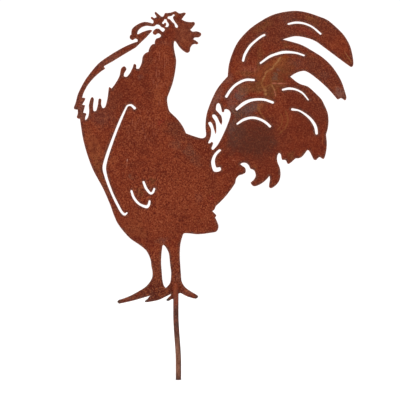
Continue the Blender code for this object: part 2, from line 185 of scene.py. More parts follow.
# Patches of the plate's front: (colour, centre x, z, half width, half height, turn in degrees, strength)
PATCHES = [
    # Broad tones
    (RUST_SHADE, 150, 345, 75, 28, 0, 0.85),
    (RUST_SHADE, 178, 270, 36, 46, 30, 0.72),
    (RUST_SHADE, 90, 320, 14, 24, -25, 0.50),
    (RUST_DARK, 118, 165, 40, 24, 0, 0.55),
    (RUST_DARK, 34, 186, 26, 24, 0, 0.72),
    (RUST_SHADE, 8, 212, 18, 11, -40, 0.80),
    (RUST_DARK, -48, 214, 24, 20, 0, 0.50),
    (RUST_DARK, 150, 225, 36, 40, 0, 0.38),
    (RUST_DARK, 146, 256, 16, 14, 0, 0.70),
    (RUST_ORANGE, 22, 130, 44, 40, 0, 0.72),
    (RUST_ORANGE, -30, 96, 48, 18, 0, 0.68),
    (RUST_BRIGHT, -50, 92, 17, 10, -35, 0.50),
    (RUST_ORANGE, -62, 124, 15, 30, 0, 0.50),
    # Neck and breast
    (RUST_DARK, -66, 258, 18, 16, 0, 0.55),
    (RUST_DARK, -52, 276, 20, 9, 0, 0.45),
    (RUST_ORANGE, -20, 255, 11, 26, 0, 0.80),
    (RUST_BRIGHT, -100, 188, 7, 14, 12, 0.30),
    (RUST_BRIGHT, -24, 258, 4, 12, 0, 0.30),
    (RUST_SHADE, -80, 252, 13, 15, 0, 0.60),
    (RUST_SHADE, -92, 232, 19, 15, 0, 0.50),
    (SLATE, -92, 231, 15, 12, 0, 0.16),
    (RUST_ORANGE, -9, 290, 7, 34, 0, 0.65),
    (RUST_ORANGE, -20, 310, 8, 12, 0, 0.45),
    (RUST_SHADE, -36, 300, 7, 18, -25, 0.60),
    (RUST_BRIGHT, -103, 190, 10, 22, 12, 0.58),
    (RUST_BRIGHT, -111, 213, 5, 12, 0, 0.35),
    (OLIVE, -95, 163, 6, 24, 18, 0.45),
    (GREY_PINK, -14, 323, 8, 4, 0, 0.25),
    (SLATE, -44, 281, 3, 3, 0, 0.30),
    (GREY_PINK, -85, 303, 20, 7, 33, 0.32),
    (GREY_PINK, -117, 242, 6, 18, 0, 0.50),
    # Body
    (RUST_RED, -18, 225, 3.5, 4, 0, 0.65),
    (PLUM, -4, 219, 11, 9, -25, 0.55),
    (TEAL_GREY, 1, 197, 8, 6, 0, 0.24),
    (TEAL_GREY, 17, 190, 8, 8, 20, 0.30),
    (TEAL_GREY, 25, 177, 7, 8, 0, 0.20),
    (RUST_SHADE, 2, 212, 14, 12, -30, 0.50),
    (RUST_BRIGHT, -77, 178, 6, 6, 0, 0.35),
    (TEAL_GREY, -55, 156, 2.6, 2.6, 0, 0.40),
    (OLIVE, -31, 151, 4, 5, 0, 0.70),
    (OLIVE, -45, 136, 5, 5, 0, 0.60),
    (RUST_DARK, 43, 150, 10, 20, 0, 0.45),
    (GREY_PINK, 28, 131, 5, 8, 0, 0.15),
    (RUST_RED, 43, 131, 2.5, 2.5, 0, 0.60),
    (GREY_PINK, -15, 78, 5, 4, 0, 0.40),
    (TEAL_GREY, -22, 77, 4, 3, 0, 0.28),
    # Legs and feet
    (RUST_SHADE, -23, 28, 15, 30, 0, 0.95),
    (RUST_NIGHT, -20, 14, 22, 12, 0, 0.85),
    (RUST_SHADE, -3, 34, 9, 26, 0, 0.65),
    (RUST_NIGHT, -45, 10, 18, 8, 25, 0.45),
    (GREY_PINK, 15, 12, 12, 6, -30, 0.40),
    (GREY_PINK, -62, 3, 8, 3, 15, 0.35),
    (GREY_PINK, 2, 31, 4, 7, 0, 0.40),
    (RUST_SHADE, 22, 9, 5, 4, 0, 0.50),
    (TEAL_GREY, -48, 6, 22, 6, 15, 0.20),
    (RUST_BRIGHT, 16, 11.5, 6, 2.5, -32, 0.40),
    (TEAL_GREY, -8, 7, 4, 3, 40, 0.45),
    (TEAL_GREY, -34, 4, 5, 2, 0, 0.30),
    # Tail base and the dark field under it
    (GREY_PINK, 70, 248, 7, 12, 25, 0.55),
    (SLATE, 80, 262, 10, 11, 0, 0.82),
    (TEAL_GREY, 80, 236, 9, 8, 0, 0.80),
    (GREY_PINK, 49, 252, 6, 18, -20, 0.66),
    (GREY_PINK, 64, 280, 6, 9, -30, 0.40),
    (GREY_PINK, 80, 268, 10, 8, 30, 0.30),
    (SLATE, 88, 243, 18, 10, 10, 0.88),
    (TEAL_GREY, 76, 235, 7, 11, 0, 0.60),
    (GREY_PINK, 92, 293, 15, 6, 0, 0.14),
    (OLIVE, 90, 286, 13, 4, 0, 0.60),
    (OLIVE, 95, 270, 18, 9, 10, 0.65),
    (PLUM, 94, 207, 42, 32, -8, 0.62),
    (PLUM, 98, 207, 28, 22, -8, 0.60),
    (INK, 76, 211, 13, 24, -15, 0.75),
    (PLUM, 100, 196, 24, 15, 0, 0.90),
    (RUST_SHADE, 92, 223, 18, 5, 0, 0.50),
    (SLATE, 70, 219, 5, 12, -15, 0.40),
    (RUST_RED, 76, 265, 4, 4, 0, 0.45),
    (OLIVE, 104, 304, 4, 22, -8, 0.50),
    (OLIVE, 122, 290, 17, 16, 0, 0.45),
    (OLIVE, 118, 264, 8, 10, 0, 0.80),
    (OLIVE, 129, 273, 10, 8, 0, 0.55),
    (OLIVE, 105, 273, 6, 9, 0, 0.60),
    (GOLD, 128, 301, 15, 7, 18, 0.80),
    (GOLD, 113, 284, 7, 14, -25, 0.50),
    (OLIVE, 138, 296, 13, 13, 0, 0.35),
    (TEAL_GREY, 123.5, 282.5, 3, 3.5, 0, 0.60),
    (GREY_PINK, 128, 290, 3, 3, 0, 0.45),
    (OCHRE, 106, 245, 6, 9, -20, 0.40),
    (RUST_ORANGE, 133, 224, 9, 16, -25, 0.35),
    # Sickle feathers
    (SLATE, 152, 297, 9, 6, 0, 0.22),
    (GREY_PINK, 166, 297, 5, 4, 0, 0.20),
    (SLATE, 186, 285, 7, 7, 0, 0.24),
    (RUST_SHADE, 172, 298, 21, 9, -35, 0.80),
    (OLIVE, 168, 308, 7, 3, -20, 0.35),
    (RUST_BRIGHT, 200, 267, 7, 6, 0, 0.45),
    (GREY_PINK, 206, 262, 8, 9, 0, 0.85),
    (SLATE, 141, 354, 9, 8, 0, 0.22),
    (GREY_PINK, 131, 357, 4, 6, 0, 0.18),
    (RUST_DARK, 122, 337, 9, 14, 0, 0.45),
    (OCHRE, 166, 357, 7, 2.5, -18, 0.45),
    (OLIVE, 172, 352, 8, 4, -25, 0.45),
    (OLIVE, 136, 323, 5, 4, 0, 0.50),
    (RUST_ORANGE, 205, 322, 12, 17, -40, 0.60),
    (RUST_RED, 160, 340, 18, 4, -14, 0.40),
    (RUST_ORANGE, 185, 330, 12, 6, -30, 0.40),
    (RUST_DARK, 97, 316, 9, 13, -20, 0.75),
    (OLIVE, 108, 345, 14, 6, 30, 0.50),
    (RUST_BRIGHT, 52, 176, 3, 5, 0, 0.40),
    (RUST_BRIGHT, 98, 170, 3.5, 3.5, 0, 0.45),
    (TEAL_GREY, 122, 200, 5, 4, 0, 0.12),
    (OLIVE, 143, 182, 5, 4, 0, 0.50),
    # Comb
    (RUST_ORANGE, 8, 334, 12, 10, 0, 0.55),
    (RUST_BRIGHT, 9, 336, 12, 12, 0, 0.30),
    (RUST_BRIGHT, 14, 336, 15, 18, 0, 0.30),
    (GREY_PINK, 12, 336, 16, 18, 0, 0.20),
    (RUST_BRIGHT, 10, 322, 7, 8, -30, 0.30),
    (RUST_DARK, 14, 349, 7, 4, 0, 0.50),
]

# Dark tips of the claws: (centre x, z, half width, half height, turn, strength)
CLAWS = [
    (-11.5, 2.6, 3.6, 2.4, 30, 0.90),
    (-37.5, 2.2, 4.0, 2.2, 30, 0.60),
    (-71.5, 0.8, 3.2, 2.6, 0, 0.55),
    (26.5, 6.5, 3.2, 2.6, 0, 0.50),
]

# How strong the grain is in parts of the front: (centre x, z, half width, half height, strength)
GRAIN_ZONES = [
    (-22, 196, 90, 58, 1.25),
    (-4, 122, 78, 56, 1.45),
    (158, 216, 40, 50, 0.75),
    (-22, 24, 62, 50, 1.70),
    (94, 205, 42, 32, 0.50),
    (120, 284, 24, 24, 0.70),
]

# Thin runs of pale rust: (colour, half width, strength, the points it passes)
VEINS = [
    (OCHRE, 2.6, 0.50, [(131, 305), (126, 299), (121, 293)]),
    (AMBER, 2.2, 0.95, [(133.5, 306.8), (140, 307)]),
    (PLUM, 1.0, 0.55, [(119.5, 295.5), (114.5, 292.2), (109.3, 288), (107, 281)]),
    (TAN, 1.1, 0.90, [(131.4, 307), (128.5, 304), (127.2, 301), (123, 297), (121, 292.7)]),
    (TAN, 1.2, 1.00, [(121, 292.7), (116.4, 289.8), (112.6, 287.7), (111, 284), (110, 281), (108, 276.5)]),
    (OCHRE, 1.1, 0.85, [(108, 276.5), (107, 272.7), (109, 268.5)]),
    (TAN, 2.1, 1.00, [(110.3, 267), (111.8, 263.5), (112, 259)]),
    (OCHRE, 1.0, 0.80, [(109, 268.5), (113, 270.2), (116.4, 271.9), (119.7, 273.5), (118.5, 281)]),
    (RUST_PINK, 1.1, 1.00, [(120, 273.8), (126, 274), (134, 273.7)]),
    (RUST_PINK, 0.7, 0.50, [(134, 273.7), (140, 274)]),
    (TAN, 1.0, 0.90, [(119.7, 273), (121.4, 268.5), (123, 265)]),
    (RUST_PINK, 1.0, 0.85, [(123, 265), (124.3, 261), (124.7, 257.7)]),
    (OCHRE, 0.8, 0.60, [(113, 256), (119, 254), (124, 250)]),
    (OCHRE, 1.1, 0.75, [(102, 245), (104, 239), (108, 234), (111, 229)]),
    (RUST_BRIGHT, 0.8, 0.55, [(112, 243), (115, 236), (119, 231)]),
    (OCHRE, 1.2, 0.50, [(137, 240), (139.7, 232), (139.7, 225), (136, 217), (129, 211)]),
    (OCHRE, 1.0, 0.42, [(131, 236), (133.5, 229), (131.5, 221), (127, 216)]),
    (TAN, 0.9, 0.55, [(211, 313), (216, 306), (219, 300)]),
    (OCHRE, 0.8, 0.45, [(208, 310), (213, 303), (216, 298)]),
    (GREY_PINK, 0.8, 0.60, [(206, 277), (209, 270), (210, 262)]),
    (RUST_PINK, 0.6, 0.60, [(-20.5, 313), (-21, 303)]),
    (RUST_PINK, 0.6, 0.60, [(-24.5, 290), (-24, 282)]),
    (RUST_PINK, 0.6, 0.55, [(-14, 300), (-14.5, 293)]),
    (PALE_SPOT, 0.9, 0.80, [(-60.5, 179), (-60.8, 176.5)]),
    (RUST_PINK, 1.0, 0.50, [(-61, 175), (-62, 169)]),
    (RUST_BRIGHT, 0.8, 0.80, [(184, 207), (183, 199)]),
    (RUST_PINK, 0.8, 0.60, [(70, 178), (74, 177)]),
]

# Where thin upright streaks lie: (centre x, z, half width, half height)
STREAK_ZONES = [(-42, 222, 26, 26), (-18, 285, 14, 44), (92, 293, 14, 9)]

# Noises of the rust: (size in mm, detail, roughness, and distortion where there is any)
BROAD_TONE = (45, 2, 0.5)
MIDDLE_TONE = (11, 3, 0.55)
MOTTLE = (3.6, 3, 0.6, 0.4)
GRAIN = (1.6, 2, 0.6)
WARM_GRAIN = (2.3, 2, 0.6)
FINE_GRAIN = (0.8, 3, 0.6)
RAGGED_COVER = (2.6, 3, 0.7)
VEIN_BREAKS = (2.4, 2, 0.6)
STREAKS = (1.7, 2, 0.5)
STREAKS_BEHIND = (30, 1, 0.5)
EDGE_WEAR = (6, 3, 0.6)
CRUST = (3.5, 3, 0.6)
BAR_TONE = (5, 3, 0.6)
BAR_SCOURING = (3.4, 3, 0.6)
BAR_WANDER = (12, 2, 0.5)
BAR_GRAIN = (1.5, 2, 0.6)
BAR_STAIN = (7, 3, 0.6)
# Painted shade: this noise makes the edge of the bar's darkened right side wander
BAR_PAINTED_SHADE = (6, 2, 0.5)

# How patterns are stretched in x, y and z, and shifted
SHEET_STRETCH = (1, 20, 1)
STREAK_STRETCH = (1, 20, 0.16)
BAR_STRETCH = (1, 1, 0.35)
STAIN_STRETCH = (1, 1, 0.5)
WARM_SHIFT = (31, 7, 19)
STAIN_SHIFT = (5, 3, 11)

# How outlines wander: (size of the noise, reach of the push), in mm
BROAD_WANDER = (9, 5.0)
FINE_WANDER = (3.5, 1.6)
VEIN_WANDER = (4, 1.1)
BAR_SPOT_WANDER = (3, 1.0)

# Where a patch ends, and where a zone ends and is full, as shares of their half sizes
PATCH_REACH = 1.35
ZONE_END = 1.2
ZONE_FULL = 0.5

# How much longer than its stretch each slim oval of a vein is
LINK_OVERLAP = 1.35

# Half an oval's depth, in mm, so that it goes right through the piece
FAR = 1e6

# How far behind the front face its own colours end, and how far they are full, in mm
FRONT_ENDS = 1.2
FRONT_FULL = 0.6

# Distances from the plate's rim, in mm: (starts, is complete)
WORN_EDGE = (3.6, 0.8)
BRIGHT_LIP = (0.75, 0.35)

# Heights between which the lips brighten, and the pitch of the pores, in mm
LIP_HEIGHTS = (30, 70)
PORE_PITCH = 1.9

# Where the bar's rust and its painted shade change, in mm above the soil line: (starts, is complete)
SCOURED_BELOW = (-34, -58)
# Painted shade: below these heights the bar's right side is darkened, as if lit from the left
PAINTED_SHADE_BELOW = (-34, -48)
RUSTY_ABOVE = (-2, 12)
DARK_END = (-88, -95)
HEIGHT_WANDER = 40

# Ovals on the bar's front: (centre x, z, half width, half height, turn)
BAR_SPOT = (1.0, -28, 2.4, 5.0, 0)
# Painted highlight: a pale stripe just left of the middle of the bar's front, where it laps the foot
BAR_PAINTED_HIGHLIGHT = (-0.7, 14, 1.1, 10, 0)

# Fine bumps, in mm
PLATE_BUMP = 0.12
BAR_BUMP = 0.10
WELD_BUMP = 0.08

RUST_SPECULAR = 0.12
STREAK_STRENGTH = 0.52
WELD_GRAIN = 1.3

# Sockets of the colour mix node: its share and two colours, and its result
MIX_INPUTS = (0, 6, 7)
MIX_RESULT = 2


def in_mm(vector):
    """A vector in metres as one in millimetres."""
    return Vector(vector) / MM


def smooth(share):
    """A step from 0 to 1 that starts and ends level."""
    return share * share * (3 - 2 * share)


def plate_loops(node):
    """Closed loops (x, z) in mm round the plate's front face and its openings, steel on their left."""
    mesh = node.data
    front = min(vertex.co.y for vertex in mesh.vertices)
    place = {}
    index_of = {}
    for vertex in mesh.vertices:
        key = (round(vertex.co.x / MM, OUTLINE_DECIMALS), round(vertex.co.z / MM, OUTLINE_DECIMALS))
        index_of[vertex.index] = place.setdefault(key, len(place))
    spots = list(place)
    edges = set()
    for polygon in mesh.polygons:
        if all(mesh.vertices[v].co.y - front < FLAT_WITHIN * MM for v in polygon.vertices):
            ring = [index_of[v] for v in polygon.vertices]
            edges.update(zip(ring, ring[1:] + ring[:1]))
    following = {a: b for a, b in edges if (b, a) not in edges}
    loops = []
    while following:
        start, here = following.popitem()
        loop = [spots[start]]
        while here != start:
            loop.append(spots[here])
            here = following.pop(here)
        loops.append(np.array(loop))
    return sorted(loops, key=len, reverse=True)


def fine_loop(loop):
    """The loop with points no further than EDGE_STEP apart."""
    points = []
    for here, after in zip(loop, np.roll(loop, -1, axis=0)):
        count = max(1, math.ceil(np.linalg.norm(after - here) / EDGE_STEP))
        points += [here + (after - here) * i / count for i in range(count)]
    return np.array(points)


def inward(loop):
    """Unit normals of a loop's points, towards the steel."""
    before = loop - np.roll(loop, 1, axis=0)
    after = np.roll(loop, -1, axis=0) - loop
    before /= np.linalg.norm(before, axis=1)[:, None]
    after /= np.linalg.norm(after, axis=1)[:, None]
    along = before + after
    along /= np.linalg.norm(along, axis=1)[:, None]
    return np.column_stack([-along[:, 1], along[:, 0]])


def inside_steel(points, loops):
    """Which points lie in the steel, by counting the edges to their right."""
    starts = np.vstack(loops)
    ends = np.vstack([np.roll(loop, -1, axis=0) for loop in loops])
    rise = ends[:, 1] - starts[:, 1]
    rise[rise == 0] = NEARLY_LEVEL
    inside = np.zeros(len(points), bool)
    for first in range(0, len(points), TEST_BATCH):
        some = points[first:first + TEST_BATCH]
        height = some[:, 1][:, None]
        spans = (starts[:, 1] > height) != (ends[:, 1] > height)
        reach = starts[:, 0] + (height - starts[:, 1]) / rise * (ends[:, 0] - starts[:, 0])
        crossings = (spans & (some[:, 0][:, None] < reach)).sum(axis=1)
        inside[first:first + TEST_BATCH] = crossings % 2 == 1
    return inside


def face_points(loops):
    """Jittered points in rows over the steel, clear of its edges, and their distances from these."""
    every = np.vstack(loops)
    low, high = every.min(axis=0), every.max(axis=0)
    row_step = FACE_STEP * math.sqrt(3) / 2
    rows = np.arange(low[1], high[1], row_step)
    grid = [(x + (i % 2) * FACE_STEP / 2, z) for i, z in enumerate(rows)
            for x in np.arange(low[0], high[0], FACE_STEP)]
    rng = np.random.default_rng(SEED)
    grid = np.array(grid) + rng.uniform(-FACE_JITTER, FACE_JITTER, (len(grid), 2)) * FACE_STEP
    grid = grid[inside_steel(grid, loops)]
    tree = KDTree(len(every))
    for index, spot in enumerate(every):
        tree.insert((*spot, 0), index)
    tree.balance()
    gaps = np.array([tree.find((*spot, 0))[2] for spot in grid])
    clear = gaps > FACE_CLEARANCE
    return grid[clear], gaps[clear]


def face_mesh(rims, grid):
    """Points (x, z) and triangles of one face: its rims first, then the points within them."""
    flat = [Vector(p) for p in np.vstack([*rims, grid])]
    edges = []
    start = 0
    for rim in rims:
        count = len(rim)
        edges += [(start + i, start + (i + 1) % count) for i in range(count)]
        start += count
    spots, _, faces = delaunay_2d_cdt(flat, edges, [], 0, JOIN_WITHIN, True)[:3]
    if len(spots) != len(flat):
        raise RuntimeError(f"the rounded edges cross: {len(spots) - len(flat)} more points")
    triangles = np.array([tuple(face) for face in faces])
    points = np.array([(p.x, p.y) for p in flat])
    triangles = triangles[inside_steel(points[triangles].mean(axis=1), rims)]
    a, b, c = triangles.T
    turn = np.cross(points[b] - points[a], points[c] - points[a]) > 0
    return points, np.where(turn[:, None], triangles, triangles[:, ::-1])


def pitting(x, y, z):
    """Height of the rust's relief in mm at a point in mm: low swells, scabs and round pits."""
    spot = Vector((x, y * SIDES_APART, z))
    swell = noise.noise(spot / SWELL_SIZE)
    scab = noise.fractal(spot / SCAB_SIZE, *SCAB_NOISE)
    cell = noise.voronoi(spot / PIT_PITCH)[0][0]
    pit = max(0.0, 1 - cell / PIT_RADIUS)
    return SWELL_HEIGHT * swell + SCAB_HEIGHT * scab - PIT_DEPTH * pit * pit * (0.5 + swell)


def cut_rings(loop, normals, front, back):
    """Rings of points along one cut, from the front's rounded corner to the back's."""
    deep = (back - front) / EDGE_ROUND
    profile = [(CORNER_MIDDLE, CORNER_MIDDLE), (0.0, 1.0), (0.0, deep - 1.0)]
    profile.append((CORNER_MIDDLE, deep - CORNER_MIDDLE))
    rings = []
    for inset, depth in profile:
        y = front + depth * EDGE_ROUND
        ring = []
        for (x, z), (normal_x, normal_z) in zip(loop, normals):
            rough = CUT_ROUGHNESS * noise.fractal(Vector((x, y * CUT_STRETCH, z)) / CUT_GRAIN, *CUT_NOISE)
            push = inset * EDGE_ROUND + rough
            ring.append((x + normal_x * push, y, z + normal_z * push))
        rings.append(ring)
    return rings


def bridge(near, far, flip=False):
    """Quads between two closed rings of point numbers."""
    quads = []
    for i in range(len(near)):
        j = (i + 1) % len(near)
        quads.append((near[i], near[j], far[j], far[i]) if flip else (near[i], far[i], far[j], near[j]))
    return quads


def tube(rings, sides, flip=False):
    """Quads of a tube whose rings of points follow each other."""
    numbers = [range(ring * sides, (ring + 1) * sides) for ring in range(rings)]
    return [quad for near, far in zip(numbers, numbers[1:]) for quad in bridge(near, far, flip)]


def new_object(name, data):
    """A new object in the scene, for a mesh, a light or a camera."""
    made = bpy.data.objects.new(name, data)
    bpy.context.scene.collection.objects.link(made)
    return made


def mesh_object(name, vertices, faces):
    """A smooth-shaded object from points in mm and faces."""
    mesh = bpy.data.meshes.new(name)
    mesh.from_pydata([Vector(v) * MM for v in vertices], [], faces)
    mesh.update()
    mesh.shade_smooth()
    return new_object(name, mesh)


def keep_numbers(mesh, name, values):
    """Stores one number for each of a mesh's points, for its material."""
    mesh.attributes.new(name, "FLOAT", "POINT").data.foreach_set("value", np.array(values, np.float32))


def keep_colours(mesh, name, values):
    """Stores one colour for each of a mesh's points, for its material."""
    mesh.attributes.new(name, "FLOAT_VECTOR", "POINT").data.foreach_set("vector", np.ravel(values))


def wandered(points, size, reach):
    """The points pushed about by noise, so that outlines drawn on them wander."""
    pushes = [noise.noise_vector(Vector((x, 0, z)) / size) for x, z in points]
    return points + reach * np.array([(push.x, push.z) for push in pushes])


def patina(points):
    """Colour and cover of the patches at points (x, z) of the front, each patch laid over the last."""
    # Without a seed, noise vectors differ from run to run
    noise.seed_set(SEED)
    spots = wandered(wandered(points, *BROAD_WANDER), *FINE_WANDER)
    tint = np.tile(RUST_MAIN, (len(points), 1))
    cover = np.zeros(len(points))
    for colour, x, z, half_x, half_z, turn, strength in PATCHES:
        angle = math.radians(turn)
        off_x, off_z = spots[:, 0] - x, spots[:, 1] - z
        along = (off_x * math.cos(angle) + off_z * math.sin(angle)) / half_x
        across = (off_z * math.cos(angle) - off_x * math.sin(angle)) / half_z
        share = strength * smooth(np.clip(PATCH_REACH - np.hypot(along, across), 0, 1))
        total = cover + share - cover * share
        weight = np.divide(share, total, out=np.zeros(len(points)), where=total > 0)[:, None]
        tint = tint * (1 - weight) + np.array(colour) * weight
        cover = total
    return tint, cover


def grain_strength(points):
    """How strong the grain is at points (x, z) of the front, 1 where nothing else is stated."""
    strength = np.ones(len(points))
    for x, z, half_x, half_z, value in GRAIN_ZONES:
        away = np.hypot((points[:, 0] - x) / half_x, (points[:, 1] - z) / half_z)
        share = smooth(np.clip((ZONE_END - away) / (ZONE_END - ZONE_FULL), 0, 1))
        strength += (value - strength) * share
    return strength


def build_plate():
    """The plate again, finely meshed, with rounded cut edges and pitted faces."""
    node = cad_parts["rooster_sheet"]
    low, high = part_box("rooster_sheet")
    front, back = low.y / MM, high.y / MM
    loops = [fine_loop(loop) for loop in plate_loops(node)]
    normals = [inward(loop) for loop in loops]
    inner = [loop + normal * EDGE_ROUND for loop, normal in zip(loops, normals)]
    grid, gaps = face_points(loops)
    flat, triangles = face_mesh(inner, grid)
    count = len(flat)
    face_rims = [EDGE_ROUND] * (count - len(gaps)) + list(gaps)

    vertices, rims, reliefs = [], [], []
    for side_y, outwards in ((front, -1), (back, 1)):
        for (x, z), rim in zip(flat, face_rims):
            relief = min(1.0, rim / RELIEF_FADE) * pitting(x, side_y, z)
            vertices.append((x, side_y + outwards * relief, z))
            rims.append(rim)
            reliefs.append(relief)
    faces = [tuple(map(int, t)) for t in triangles]
    faces += [tuple(int(i) + count for i in reversed(t)) for t in triangles]

    start = 0
    for loop, normal in zip(loops, normals):
        size = len(loop)
        numbers = [range(start, start + size)]
        for ring in cut_rings(loop, normal, front, back):
            numbers.append(range(len(vertices), len(vertices) + size))
            vertices += ring
        numbers.append(range(count + start, count + start + size))
        for near, far in zip(numbers, numbers[1:]):
            faces += bridge(near, far)
        start += size

    plate = mesh_object("rusted_plate", vertices, faces)
    on_cuts = [0.0] * (len(vertices) - 2 * count)
    tint = np.tile(RUST_MAIN, (len(vertices), 1))
    cover = np.zeros(len(vertices))
    tint[:count], cover[:count] = patina(flat)
    grain = np.ones(len(vertices))
    grain[:count] = grain_strength(flat)
    keep_numbers(plate.data, "rim", rims + on_cuts)
    keep_numbers(plate.data, "relief", reliefs + on_cuts)
    keep_numbers(plate.data, "cover", cover)
    keep_numbers(plate.data, "grain", grain)
    keep_colours(plate.data, "tint", tint)
    return plate


def bar_axis_x(z, end_x):
    """How far to the side the bent bar's axis is at a height, with its lower end at end_x."""
    share = min(1.0, max(0.0, (BEND_TOP - z) / (BEND_TOP - BEND_BOTTOM)))
    return end_x * smooth(share)


def build_bar():
    """The round bar with its bend, rust scabs, and a sawn lower end."""
    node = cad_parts["ground_spike"]
    low, high = (in_mm(corner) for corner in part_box("ground_spike"))
    foot = [v.co for v in node.data.vertices if v.co.z < (low.z + BAR_FOOT) * MM]
    end_x = (min(p.x for p in foot) + max(p.x for p in foot)) / 2 / MM
    radius = (high.y - low.y) / 2
    ends = [(BAR_EDGE * gap, radius - BAR_EDGE * inset) for gap, inset in BAR_END_RINGS]
    heights = list(np.arange(low.z + BAR_EDGE, high.z - BAR_EDGE, BAR_RING_STEP)) + [high.z - BAR_EDGE]
    rings = [(low.z + gap, reach) for gap, reach in ends]
    rings += [(z, radius) for z in heights]
    rings += [(high.z - gap, reach) for gap, reach in reversed(ends)]
    vertices, sides = [], []
    for z, reach in rings:
        centre = bar_axis_x(z, end_x)
        for side in range(BAR_SIDES):
            angle = 2 * math.pi * side / BAR_SIDES
            x, y = math.cos(angle), math.sin(angle)
            scab = noise.fractal(Vector((x * reach, y * reach, z)) / BAR_SCAB_SIZE, *SCAB_NOISE)
            reach_here = reach + BAR_SCALE + BAR_SCAB_HEIGHT * scab
            vertices.append((centre + x * reach_here, y * reach_here, z))
            sides.append(x)
    faces = tube(len(rings), BAR_SIDES, flip=True)
    for first, end_z, flip in ((0, low.z, True), ((len(rings) - 1) * BAR_SIDES, high.z, False)):
        middle = len(vertices)
        vertices.append((bar_axis_x(end_z, end_x), 0, end_z))
        sides.append(0)
        for side in range(BAR_SIDES):
            a, b = first + side, first + (side + 1) % BAR_SIDES
            faces.append((b, a, middle) if flip else (a, b, middle))
    bar = mesh_object("rusted_bar", vertices, faces)
    keep_numbers(bar.data, "side", sides)
    return bar


def bead_path(bar_radius, low_z, top_z, side_y):
    """Middle line of the weld: up one side of the bar, round its top end and down the other side."""
    side_x = bar_radius + BEAD_WIDTH * BEAD_ASIDE
    straight = np.arange(low_z, top_z - BEAD_TURN, BEAD_STEP)
    turn = np.arange(0, math.pi / 2, BEAD_STEP / BEAD_TURN)
    right = [(side_x, z) for z in straight]
    right += [(side_x - BEAD_TURN + BEAD_TURN * math.cos(t), top_z - BEAD_TURN + BEAD_TURN * math.sin(t))
              for t in turn]
    over = [(x, top_z) for x in np.arange(side_x - BEAD_TURN, BEAD_TURN - side_x, -BEAD_STEP)]
    path = right + over + [(-x, z) for x, z in reversed(right)]
    return [Vector((x, side_y, z)) for x, z in reversed(path)]


def build_weld():
    """A rippled fillet of weld metal that sits on the plate and leans on the bar."""
    bead_low = in_mm(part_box("weld_bead")[0])
    bar_low, bar_high = (in_mm(corner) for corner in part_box("ground_spike"))
    plate_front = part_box("rooster_sheet")[0].y / MM
    radius = (bar_high.y - bar_low.y) / 2
    top_z = bar_high.z + BEAD_WIDTH * BEAD_OVER
    path = bead_path(radius, bead_low.z + BEAD_START, top_z, plate_front - BEAD_HEIGHT * BEAD_BEFORE)
    length = len(path) * BEAD_STEP
    vertices = []
    for index, centre in enumerate(path):
        before, after = path[max(index - 1, 0)], path[min(index + 1, len(path) - 1)]
        along = (after - before).normalized()
        across = Vector((along.z, 0, -along.x))
        travelled = index * BEAD_STEP
        end_gap = min(travelled, length - travelled)
        taper = math.sqrt(max(TAPER_LEAST, min(1.0, end_gap / TAPER_LENGTH)))
        grow = taper * (1 + UNEVENNESS * noise.noise(centre / UNEVEN_SIZE))
        for side in range(BEAD_SIDES):
            angle = 2 * math.pi * side / BEAD_SIDES
            lag = abs(math.cos(angle)) * RIPPLE_LAG
            phase = (travelled / RIPPLE_PITCH + lag) % 1.0
            ripple = RIPPLE_HEIGHT * (1 - phase) ** 2
            spread = across * math.cos(angle) * (BEAD_WIDTH / 2 + ripple) * grow
            rise = Vector((0, math.sin(angle) * (BEAD_HEIGHT / 2 + ripple) * grow, 0))
            vertices.append(centre + spread + rise)
    faces = tube(len(path), BEAD_SIDES)
    last = (len(path) - 1) * BEAD_SIDES
    faces.append(tuple(range(BEAD_SIDES)))
    faces.append(tuple(reversed(range(last, last + BEAD_SIDES))))
    return mesh_object("weld_run", vertices, faces)


